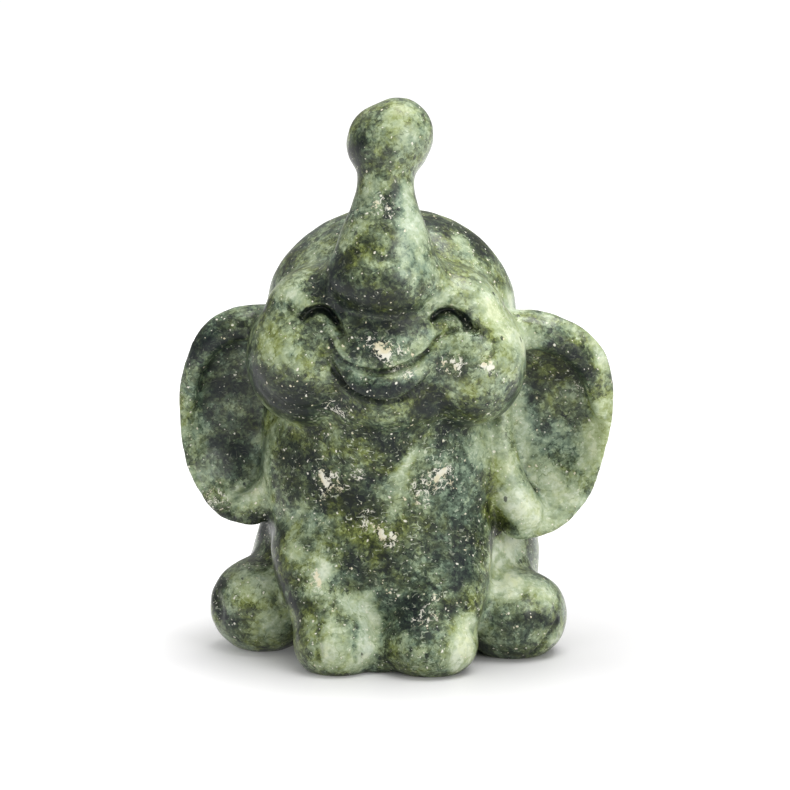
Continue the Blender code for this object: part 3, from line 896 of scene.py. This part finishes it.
    (-0.4, 1.8, [(8.6, 8.8), (8.6, 7.0)]),
    (-0.4, 2.8, [(16.0, 7.4), (20.4, 5.6)]),
    # painted shadow where the right hind foot meets the floor
    (-0.45, 1.6, [(12.4, 1.8), (16.0, 1.6), (20.0, 2.2)]),
    # painted shade in the fold beside the right hind toe
    (-0.4, 1.2, [(19.5, 2.0), (21.1, 3.0), (22.2, 4.6)]),
    (0.5, 2.2, [(14.6, 15.5), (14.5, 13.0), (15.2, 10.4)]),
]

OLIVE_AND_BLUE = [
    (0.6, 3.0, [(-6.2, 20.3), (-3.6, 18.5)]),
    (0.7, 1.8, [(13.8, 25.7), (14.1, 21.6), (14.7, 17.6)]),
    (-0.7, 1.8, [(-4.6, 8.9), (-3.6, 4.9)]),
    (-0.6, 3.2, [(-0.1, 9.0), (3.6, 7.5)]),
    (-0.6, 4.6, [(-24.1, 39.9), (-24.4, 34.4), (-23.2, 28.8), (-19.9, 25.3)]),
    (0.5, 1.8, [(-27.2, 40.5), (-27.8, 34.9), (-27.6, 29.2)]),
    (0.5, 3.0, [(19.5, 40.5), (23.1, 40.3)]),
    (0.5, 2.2, [(27.4, 41.8), (28.6, 36.3), (28.2, 30.6), (27.1, 25.7)]),
    (-0.6, 3.4, [(7.8, 29.3), (9.2, 25.4), (7.8, 22.6)]),
    (-0.7, 2.8, [(10.3, 20.4), (10.8, 17.2), (10.0, 14.7)]),
    (-0.6, 2.0, [(-5.9, 41.1), (-3.5, 39.5), (-0.4, 39.0), (2.5, 39.6)]),
    (-0.4, 2.0, [(-3.7, 44.9), (1.9, 43.6)]),
    # partly the stone's cold hue, partly the blue cast of the painted highlight down the trunk's right side
    (-0.6, 2.4, [(2.0, 62.4), (2.5, 58.7)]),
    (-0.5, 1.8, [(18.0, 35.9), (18.8, 33.1)]),
    (-0.5, 2.4, [(21.0, 30.1), (22.6, 27.4)]),
    (-0.5, 1.8, [(18.0, 25.8), (19.6, 22.0)]),
    (0.4, 3.0, [(-16.1, 44.9), (-15.8, 42.9), (-12.4, 41.3)]),
    (0.3, 4.0, [(10.1, 51.1), (13.5, 49.0), (15.1, 45.9)]),
]

WHITE_CRUSTS_AND_LIP_HIGHLIGHT = [
    # the clusters' solid hearts
    (1.9, 0.32, [(-10.0, 13.4), (-9.5, 12.6), (-9.3, 12.0)]),
    (1.8, 0.28, [(-1.3, 18.7), (-0.9, 18.2)]),
    (1.7, 0.28, [(0.4, 18.8), (0.7, 18.3)]),
    (1.5, 0.28, [(-9.1, 26.3), (-8.9, 25.6), (-8.3, 24.9)]),
    (1.5, 0.28, [(7.4, 26.9), (6.7, 26.2), (6.2, 25.4)]),
    (1.7, 0.26, [(-1.5, 44.2), (-0.9, 43.6), (-0.3, 43.1)]),
    (1.55, 0.22, [(8.2, 42.4), (9.2, 41.5)]),
    (1.5, 0.22, [(12.2, 41.9), (13.4, 41.3)]),
    (1.9, 0.26, [(5.9, 10.6), (6.3, 10.2)]),
    # the broken crust round them
    (0.9, 1.4, [(-2.4, 44.8), (-0.8, 44.1), (0.4, 43.6)]),
    # painted highlight: the glossy streak on the lower lip, laid in as white crust
    (0.6, 0.9, [(0.4, 41.4), (2.2, 40.8)]),
    (0.9, 1.2, [(7.7, 42.0), (8.7, 41.6)]),
    (0.9, 1.2, [(12.4, 42.0), (13.5, 41.4)]),
    (0.9, 1.3, [(-9.4, 25.8), (-8.4, 24.5)]),
    (0.6, 1.0, [(-7.3, 25.7), (-6.2, 24.9)]),
    (0.8, 0.8, [(-4.6, 27.2), (-3.8, 26.7)]),
    (1.0, 1.3, [(7.6, 26.7), (6.2, 25.2), (4.6, 23.4)]),
    (1.0, 1.2, [(-1.2, 18.6), (0.4, 17.9)]),
    (0.7, 0.9, [(-3.6, 19.6), (-2.8, 20.4)]),
    (0.9, 0.7, [(-9.9, 12.3), (-9.4, 11.5)]),
    (0.7, 1.3, [(-1.0, 62.8), (0.4, 61.8)]),
    (0.9, 0.7, [(25.0, 36.1), (25.5, 35.6)]),
    (0.6, 1.4, [(-24.2, 21.5), (-22.5, 20.6)]),
    (0.6, 1.2, [(-7.7, 35.8), (-6.7, 36.2)]),
    (0.6, 1.0, [(3.6, 8.0), (5.7, 8.8)]),
]

MATT_HOLLOWS = [
    (0.75, 9.0, [(-5, 30), (-3, 22), (0, 14), (1, 7)]),
    (0.9, 6.0, [(7, 30), (9, 22), (9, 15)]),
    (0.5, 5.0, [(-10, 28), (-10, 20)]),
    (0.6, 3.0, [(-4, 44.5), (1.5, 44)]),
    (0.5, 2.2, [(9.5, 46.8), (5.5, 45.4)]),
    (0.5, 2.2, [(-9.6, 47.2), (-10.6, 45.6)]),
    (0.15, 6.0, [(-22, 38), (-22, 28)]),
    (0.4, 6.0, [(22, 38), (21, 26)]),
    (0.9, 4.0, [(-8, 10), (-6, 5)]),
    (0.6, 4.0, [(5, 11), (6, 5)]),
    (0.9, 2.4, [(-16.8, 18.4), (-16.8, 15.0), (-15.8, 12.0)]),
    (0.7, 2.2, [(-23.4, 9.0), (-23.4, 5.4)]),
    (0.7, 2.6, [(6.6, 58.6), (10.4, 56.8), (13.0, 53.4)]),
    (0.7, 2.2, [(-27.6, 39.0), (-28.0, 33.0), (-27.4, 28.0)]),
]


def brushed(tree, points, strokes):
    """The strokes' amounts at the points, added up where strokes cross.

    Broad strokes get wandering edges, and thin ones stay on their routes.
    """
    noise.seed_set(STONE_SEED)
    drift = np.array([noise.noise_vector(Vector(p) / (EDGE_WAVE * UNIT)) for p in points]) * UNIT
    amounts = np.zeros(len(points))
    for amount, radius, route in strokes:
        laid = laid_on(tree, smooth_line(route, 6))
        reach = radius * STROKE_FADE * UNIT
        wandering = points + drift * min(MOST_SHAKE, EDGE_SHAKE * radius)
        rows, way, _ = close_to(laid, wandering, reach)
        share = np.clip(1 - (np.linalg.norm(way, axis=1) / reach) ** 2, 0, 1) ** 1.5
        amounts[rows] += amount * share
    return amounts


def paint(mesh, name, amounts):
    layer = mesh.attributes.new(name, "FLOAT", "POINT")
    layer.data.foreach_set("value", amounts.astype(np.float32))


# Stone


class Layer:
    """A shader node's output that Python sums can use. Each sum adds the Math node for it."""

    def __init__(self, tree, socket=None):
        self.tree = tree
        self.socket = socket

    def node(self, kind, settings=None, values=None, output=0):
        """Adds a node: its settings first, then each socket's value or link, by name or number."""
        added = self.tree.nodes.new(kind)
        for name, setting in (settings or {}).items():
            if name == "stops":
                stops = added.color_ramp.elements
                stops[0].position, stops[1].position = setting[0][0], setting[-1][0]
                for place, _ in setting[1:-1]:
                    stops.new(place)
                for stop, (_, colour) in zip(stops, setting):
                    stop.color = (*colour, 1)
            else:
                setattr(added, name, setting)
        for key, value in (values or {}).items():
            socket = added.inputs[key]
            if isinstance(value, Layer):
                self.tree.links.new(value.socket, socket)
            else:
                socket.default_value = value
        return Layer(self.tree, added.outputs[output] if added.outputs else None)

    def sum(self, operation, *terms):
        return self.node("ShaderNodeMath", {"operation": operation}, dict(enumerate(terms)))

    def __add__(self, other):
        return self.sum("ADD", self, other)

    def __sub__(self, other):
        return self.sum("SUBTRACT", self, other)

    def __rsub__(self, other):
        return self.sum("SUBTRACT", other, self)

    def __mul__(self, other):
        return self.sum("MULTIPLY", self, other)

    __radd__ = __add__
    __rmul__ = __mul__

    def size(self):
        return self.sum("ABSOLUTE", self)

    def most(self, other):
        return self.sum("MAXIMUM", self, other)

    def rise(self, low, high):
        """0 below low, 1 above high and smooth between them. A low above the high falls instead."""
        values = {"Value": self, "From Min": low, "From Max": high}
        return self.node("ShaderNodeMapRange", {"interpolation_type": "SMOOTHSTEP"}, values)


def cloud(place, size, detail=2.0, roughness=0.55):
    """Soft clouds about size units wide, from 0 to 1 and mostly near a half."""
    values = {
        "Vector": place,
        "Scale": 1 / (size * UNIT),
        "Detail": detail,
        "Roughness": roughness,
    }
    return place.node("ShaderNodeTexNoise", values=values)


def moved(place, offset, stretch=(1, 1, 1), turn=(0, 0, 0)):
    """The same places moved, stretched and turned, so that a pattern isn't met twice."""
    values = {
        "Vector": place,
        "Location": [step * UNIT for step in offset],
        "Rotation": [math.radians(angle) for angle in turn],
        "Scale": stretch,
    }
    return place.node("ShaderNodeMapping", values=values)


def shaken(place, size, amount):
    """Places pushed about by clouds of that size, by up to about that amount."""
    push = place.node(
        "ShaderNodeTexNoise",
        values={"Vector": place, "Scale": 1 / (size * UNIT), "Detail": 2.0},
        output="Color",
    )
    centred = place.node(
        "ShaderNodeVectorMath", {"operation": "SUBTRACT"}, {0: push, 1: (0.5, 0.5, 0.5)}
    )
    grown = place.node(
        "ShaderNodeVectorMath", {"operation": "SCALE"}, {0: centred, "Scale": 2 * amount * UNIT}
    )
    return place.node("ShaderNodeVectorMath", {"operation": "ADD"}, {0: place, 1: grown})


def over(mask, under, colour, way="MIX"):
    """The colour laid over another where the mask is 1."""
    return mask.node(
        "ShaderNodeMix",
        {"data_type": "RGBA", "blend_type": way},
        {FACTOR: mask, FIRST_COLOUR: under, SECOND_COLOUR: colour},
        MIXED_COLOUR,
    )


def cell_tones(place, size):
    """A number from 0 to 1 for each crystal of about that size."""
    chance = place.node(
        "ShaderNodeTexVoronoi", values={"Vector": place, "Scale": 1 / (size * UNIT)}, output="Color"
    )
    return place.node("ShaderNodeSeparateColor", values={"Color": chance})


def grains(place, size, share, roundness):
    """Specks in cells of that size. share is how many cells hold one, and roundness how far it fills it."""
    cells = {"Vector": place, "Scale": 1 / (size * UNIT)}
    distance = place.node("ShaderNodeTexVoronoi", values=cells)
    chance = place.node("ShaderNodeTexVoronoi", values=cells, output="Color")
    parted = place.node("ShaderNodeSeparateColor", values={"Color": chance})
    chosen = (share - parted).rise(-0.01, 0.01)
    return distance.rise(roundness, roundness * 0.6) * chosen


def scratches(place, size, width, share):
    """Short curved lines: where a cloud crosses its middle, broken up by another cloud."""
    line = (cloud(place, size, 1.0) - 0.5).size().rise(width, width * 0.3)
    gaps = cloud(moved(place, (7, 3, 5)), size * 0.6, 1.0).rise(1 - share, 1.04 - share)
    return line * gaps


def jade(colours):
    """Mottled green stone: clouds and veins of many sizes, white crusts, specks and fine scratches, with
    painted shade and highlights brushed into its tone and crust.
    """
    material = bpy.data.materials.new("mottled_jade")
    material.use_nodes = True
    tree = material.node_tree
    tree.nodes.clear()
    start = Layer(tree)
    place = start.node("ShaderNodeTexCoord", output="Object")
    painted = {
        name: start.node("ShaderNodeAttribute", {"attribute_name": name}, output="Fac")
        for name in ("tone", "hue", "crust", "matt")
    }
    flowing = shaken(place, 9, 3.0)
    ruffled = shaken(place, 2.4, 0.8)
    speck_places = shaken(place, 0.5, 0.25)

    broad = cloud(flowing, 9, 3.0, 0.6)
    middle = cloud(moved(ruffled, (40, 0, 0)), 3.4, 4.0, 0.62)
    fine = cloud(moved(ruffled, (0, 30, 0)), 0.9, 3.0, 0.65)
    crystal = cell_tones(moved(speck_places, (0, 0, 20)), 0.75)
    dust = cell_tones(moved(speck_places, (0, 11, 20)), 0.32)
    vein = (cloud(moved(flowing, (13, 27, 5)), 11, 3.0, 0.5) - 0.5).size().rise(0.045, 0.0)
    vein = vein * cloud(moved(place, (3, 9, 60)), 6, 2.0).rise(0.46, 0.6)
    thread = (cloud(moved(ruffled, (5, 60, 15)), 3.2, 3.0, 0.5) - 0.5).size().rise(0.014, 0.0)
    thread = thread * cloud(moved(place, (33, 9, 6)), 2.6, 2.0).rise(0.5, 0.62)
    matt = painted["matt"].rise(0.0, 1.0)
    # the painted tone carries the stone's own clouds together with painted shade and painted highlights
    patches = TONE_LEVEL + 0.95 * (broad - 0.5) + 0.65 * (middle - 0.5) + 0.62 * painted["tone"]
    rough_cut = 0.54 * (fine - 0.5) + 0.26 * (crystal - 0.5) + 0.24 * (dust - 0.5)
    clear = patches.rise(0.4, 0.95)
    tone = 0.07 + 0.93 * patches.rise(-0.25, 1.25) + rough_cut * (1.05 - 0.65 * clear)
    tone = tone - 0.2 * vein - 0.22 * thread
    stops = [
        (0.02, colours.black_green),
        (0.24, colours.deep_green),
        (0.44, colours.moss_green),
        (0.60, colours.leaf_green),
        (0.81, colours.pale_green),
        (1.0, colours.milk_green),
    ]
    colour = tone.node("ShaderNodeValToRGB", {"stops": stops}, {"Fac": tone})

    tints = cloud(moved(ruffled, (12, 9, 44)), 1.2, 3.0, 0.7)
    swathes = cloud(moved(flowing, (70, 9, 2)), 6, 3.0, 0.6)
    hue = painted["hue"] + 3.2 * (swathes - 0.5) + 2.6 * (tints - 0.5)
    stained = 0.25 + 0.75 * tone.rise(0.85, 0.5)
    colour = over(hue.rise(-0.1, 0.8) * stained, colour, (*colours.olive, 1), "MULTIPLY")
    colour = over(hue.rise(0.1, -0.9) * stained, colour, (*colours.blue_grey, 1), "MULTIPLY")

    dark_specks = grains(moved(speck_places, (5, 5, 5), (1, 1, 0.6), (20, 30, 0)), 1.4, 0.14, 0.24)
    colour = over(dark_specks * 0.8, colour, (*colours.black_green, 1))

    patchy = cloud(moved(place, (1, 50, 1)), 4, 2.0).rise(0.4, 0.62)
    lines = scratches(shaken(place, 1.2, 0.5), 1.5, 0.03, 0.42)
    lines = lines.most(scratches(moved(place, (9, 1, 4), (0.6, 1, 1.5), (0, 40, 0)), 1.1, 0.035, 0.4))
    lines = lines * (0.10 + 0.55 * matt * patchy)
    colour = over(lines, colour, (*colours.milk_green, 1))

    gathered = cloud(moved(place, (8, 70, 3)), 5, 3.0, 0.6).rise(0.3, 0.62)
    small = grains(speck_places, 1.0, 0.07 + 0.15 * gathered + 0.14 * matt, 0.2)
    tiny = grains(moved(speck_places, (3, 8, 1)), 0.55, 0.08 + 0.2 * gathered + 0.10 * matt, 0.22)
    crusty = cloud(moved(shaken(place, 0.4, 0.5), (2, 2, 9)), 0.7, 4.0, 0.8)
    # the painted crust also holds a painted highlight on the lower lip, which turns white here like the
    # crusts
    crust = (crusty + 0.10 * painted["crust"]).rise(0.62, 0.66)
    spikes = scratches(shaken(moved(place, (2, 40, 2)), 1.0, 0.5), 1.3, 0.035, 0.5)
    crust = crust.most(spikes * 0.9) * painted["crust"].rise(0.05, 0.35)
    crust = crust.most((painted["crust"] + 1.6 * (crusty - 0.5)).rise(1.1, 1.3))
    # specks and crusts, with the lower lip's painted highlight among them
    flecks_and_highlight = (small * 0.9).most(tiny * 0.8).most(crust * 0.9)
    warm = cloud(moved(place, (4, 4, 4)), 1.6, 1.0).rise(0.45, 0.65) * 0.6
    fleck_and_highlight_colour = over(warm, (*colours.fleck, 1), (*colours.gold_fleck, 1))
    colour = over(flecks_and_highlight, colour, fleck_and_highlight_colour)

    gloss = 0.34 + 0.18 * matt + 0.25 * (middle - 0.5) + 0.06 * (crystal - 0.5)
    roughness = gloss.most(0.18) + 0.2 * crust
    coat = (1 - matt) * (0.1 + 0.3 * patches.rise(0.1, 0.6)) * (1 - 0.8 * flecks_and_highlight)
    height = 0.5 * fine + 0.12 * crystal + 0.4 * flecks_and_highlight - 0.7 * dark_specks - 0.3 * lines
    bump = start.node(
        "ShaderNodeBump",
        values={"Strength": 0.32, "Distance": 0.16 * UNIT, "Height": height},
    )
    surface = start.node(
        "ShaderNodeBsdfPrincipled",
        values={
            "Base Color": colour,
            "Roughness": roughness,
            "Coat Weight": coat,
            "Coat Roughness": 0.24,
            "Specular IOR Level": 0.2,
            "Normal": bump,
        },
    )
    start.node("ShaderNodeOutputMaterial", values={"Surface": surface})
    return material


# Studio


def studio_floor():
    """A wide pale floor that reaches out of sight. It glows with painted light, but not in a painted shadow
    pool round the figure.
    """
    sheet = bmesh.new()
    bmesh.ops.create_grid(sheet, x_segments=4, y_segments=4, size=FLOOR_REACH)
    mesh = bpy.data.meshes.new("studio_floor")
    sheet.to_mesh(mesh)
    sheet.free()
    material = bpy.data.materials.new("pale_floor")
    material.use_nodes = True
    tree = material.node_tree
    tree.nodes.clear()
    start = Layer(tree)
    place = start.node("ShaderNodeTexCoord", output="Object")
    dust = cloud(place, 30, 3.0)
    colour = over(dust, (0.665, 0.66, 0.665, 1), (0.65, 0.645, 0.65, 1))
    # painted shadow pool round the figure: the floor's painted light fades to nothing towards the figure
    shade_pool = moved(place, SHADE_POOL_MOVE)
    away = start.node("ShaderNodeVectorMath", {"operation": "LENGTH"}, {0: shade_pool}, "Value")
    painted_light = over(away.rise(SHADE_POOL_EDGE, SHADE_POOL_END), (0, 0, 0, 1), (PAINTED_FLOOR_LIGHT, PAINTED_FLOOR_LIGHT, PAINTED_FLOOR_LIGHT, 1))
    surface = start.node(
        "ShaderNodeBsdfPrincipled",
        values={
            "Base Color": colour,
            "Roughness": 0.42 + 0.1 * dust,
            "Emission Color": painted_light,
            "Emission Strength": 1,
        },
    )
    start.node("ShaderNodeOutputMaterial", values={"Surface": surface})
    mesh.materials.append(material)
    return add_object("studio_floor", mesh)


def white_room(daylight):
    """White overhead and dimmer round the sides, so that the stone keeps its depth."""
    world = bpy.data.worlds.new("white_room")
    world.use_nodes = True
    tree = world.node_tree
    tree.nodes.clear()
    start = Layer(tree)
    way = start.node("ShaderNodeTexCoord", output="Generated")
    upwards = start.node("ShaderNodeSeparateXYZ", values={"Vector": way}, output="Z")
    white = (SIDE_WHITE + TOP_WHITE * upwards.rise(0.0, 0.9)) * daylight
    light = start.node("ShaderNodeBackground", values={"Color": (1, 1, 1, 1), "Strength": white})
    start.node("ShaderNodeOutputWorld", values={"Surface": light})
    return world


def soft_light(name, place, size, power):
    """A square soft light that faces the middle of the figure."""
    lamp = bpy.data.lights.new(name, "AREA")
    lamp.shape = "RECTANGLE"
    lamp.size = lamp.size_y = size
    lamp.energy = power
    box = add_object(name, lamp)
    box.location = place
    aim = Vector((0, 0, HIGH[2] / 2))
    box.rotation_euler = (aim - Vector(place)).to_track_quat("-Z", "Y").to_euler()


def stand_camera(studio):
    """The photograph's viewpoint. The frame stands a hair to the right of the figure's middle."""
    camera = bpy.data.cameras.new("viewpoint")
    camera.sensor_width = 36
    camera.lens = (
        studio.pixels_per_millimetre * 1000 * studio.camera_distance * camera.sensor_width / IMAGE_WIDTH
    )
    camera.shift_x = FRAME_SHIFT / IMAGE_WIDTH
    camera.clip_start = 0.01
    viewpoint = add_object("viewpoint", camera)
    middle = Vector((DRAWN_MIDDLE[0] * UNIT, DRAWN_MIDDLE[1] * UNIT, studio.aim_height))
    tilt = studio.camera_height
    away = Vector((0, -math.cos(tilt), math.sin(tilt)))
    viewpoint.location = middle + away * studio.camera_distance
    viewpoint.rotation_euler = (-away).to_track_quat("-Z", "Y").to_euler()
    bpy.context.scene.camera = viewpoint


# Operators


class ELEPHANT_OT_carve_figure(bpy.types.Operator):
    """Carve the figure from one block and give it its stone, with painted shade and highlights"""

    bl_idname = "elephant.carve_figure"
    bl_label = "Carve the elephant"

    def execute(self, context):
        sizes = context.scene.elephant_sizes
        clay = bmesh.new()
        body(clay)
        clay = fused(clay, sizes.grain, sizes.body_softness)
        for shape in (face, trunk, legs, tail):
            shape(clay)
        clay = fused(clay, sizes.grain, sizes.limb_softness)
        ears(clay)
        skin = fused(clay, sizes.grain, sizes.ear_softness)
        cut_eyes(skin)
        cut_smile(skin)
        cut_folds(skin)
        wobble(skin, sizes.hand_wobble, HAND_WAVE)
        wobble(skin, sizes.tool_wobble, TOOL_WAVE)
        cut_flat(skin)
        mesh = bpy.data.meshes.new("jade_elephant")
        skin.to_mesh(mesh)
        tree = BVHTree.FromBMesh(skin)
        points = places(skin)
        skin.free()
        paint(mesh, "tone", brushed(tree, points, PALE_AND_DARK))
        paint(mesh, "hue", brushed(tree, points, OLIVE_AND_BLUE))
        paint(mesh, "crust", brushed(tree, points, WHITE_CRUSTS_AND_LIP_HIGHLIGHT))
        paint(mesh, "matt", brushed(tree, points, MATT_HOLLOWS))
        mesh.transform(fitted_place(points))
        mesh.materials.append(jade(context.scene.elephant_colours))
        mesh.shade_smooth()
        figure = add_object("jade_elephant", mesh)
        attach(figure, "root")
        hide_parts("elephant")
        return {"FINISHED"}


class ELEPHANT_OT_set_stage(bpy.types.Operator):
    """Lay the floor, hang the lights and stand the camera"""

    bl_idname = "elephant.set_stage"
    bl_label = "Set the stage"

    def execute(self, context):
        studio = context.scene.elephant_studio
        studio_floor()
        soft_light("key_light", KEY_PLACE, KEY_SIZE, studio.key_power)
        soft_light("fill_light", FILL_PLACE, FILL_SIZE, studio.fill_power)
        context.scene.world = white_room(studio.daylight)
        context.scene.view_settings.view_transform = "Standard"
        stand_camera(studio)
        return {"FINISHED"}


class ELEPHANT_PT_workshop(bpy.types.Panel):
    """The steps and sizes of the jade elephant"""

    bl_idname = "ELEPHANT_PT_workshop"
    bl_label = "Jade elephant"
    bl_space_type = "VIEW_3D"
    bl_region_type = "UI"
    bl_category = "Elephant"

    def draw(self, context):
        scene = context.scene
        steps = (
            (ELEPHANT_OT_carve_figure, scene.elephant_sizes),
            (None, scene.elephant_colours),
            (ELEPHANT_OT_set_stage, scene.elephant_studio),
        )
        for step, settings in steps:
            box = self.layout.box()
            for name in settings.bl_rna.properties.keys():
                if name not in ("rna_type", "name"):
                    box.prop(settings, name)
            if step:
                box.operator(step.bl_idname)


CLASSES = (
    CarvingSizes,
    JadeColours,
    StudioSettings,
    ELEPHANT_OT_carve_figure,
    ELEPHANT_OT_set_stage,
    ELEPHANT_PT_workshop,
)
SETTINGS = {
    "elephant_sizes": CarvingSizes,
    "elephant_colours": JadeColours,
    "elephant_studio": StudioSettings,
}


def register():
    for made in CLASSES:
        bpy.utils.register_class(made)
    for name, group in SETTINGS.items():
        setattr(bpy.types.Scene, name, PointerProperty(type=group))


def unregister():
    for name in SETTINGS:
        delattr(bpy.types.Scene, name)
    for made in reversed(CLASSES):
        bpy.utils.unregister_class(made)


def main():
    register()
    bpy.ops.elephant.carve_figure()
    bpy.ops.elephant.set_stage()


if __name__ == "__main__":
    main()
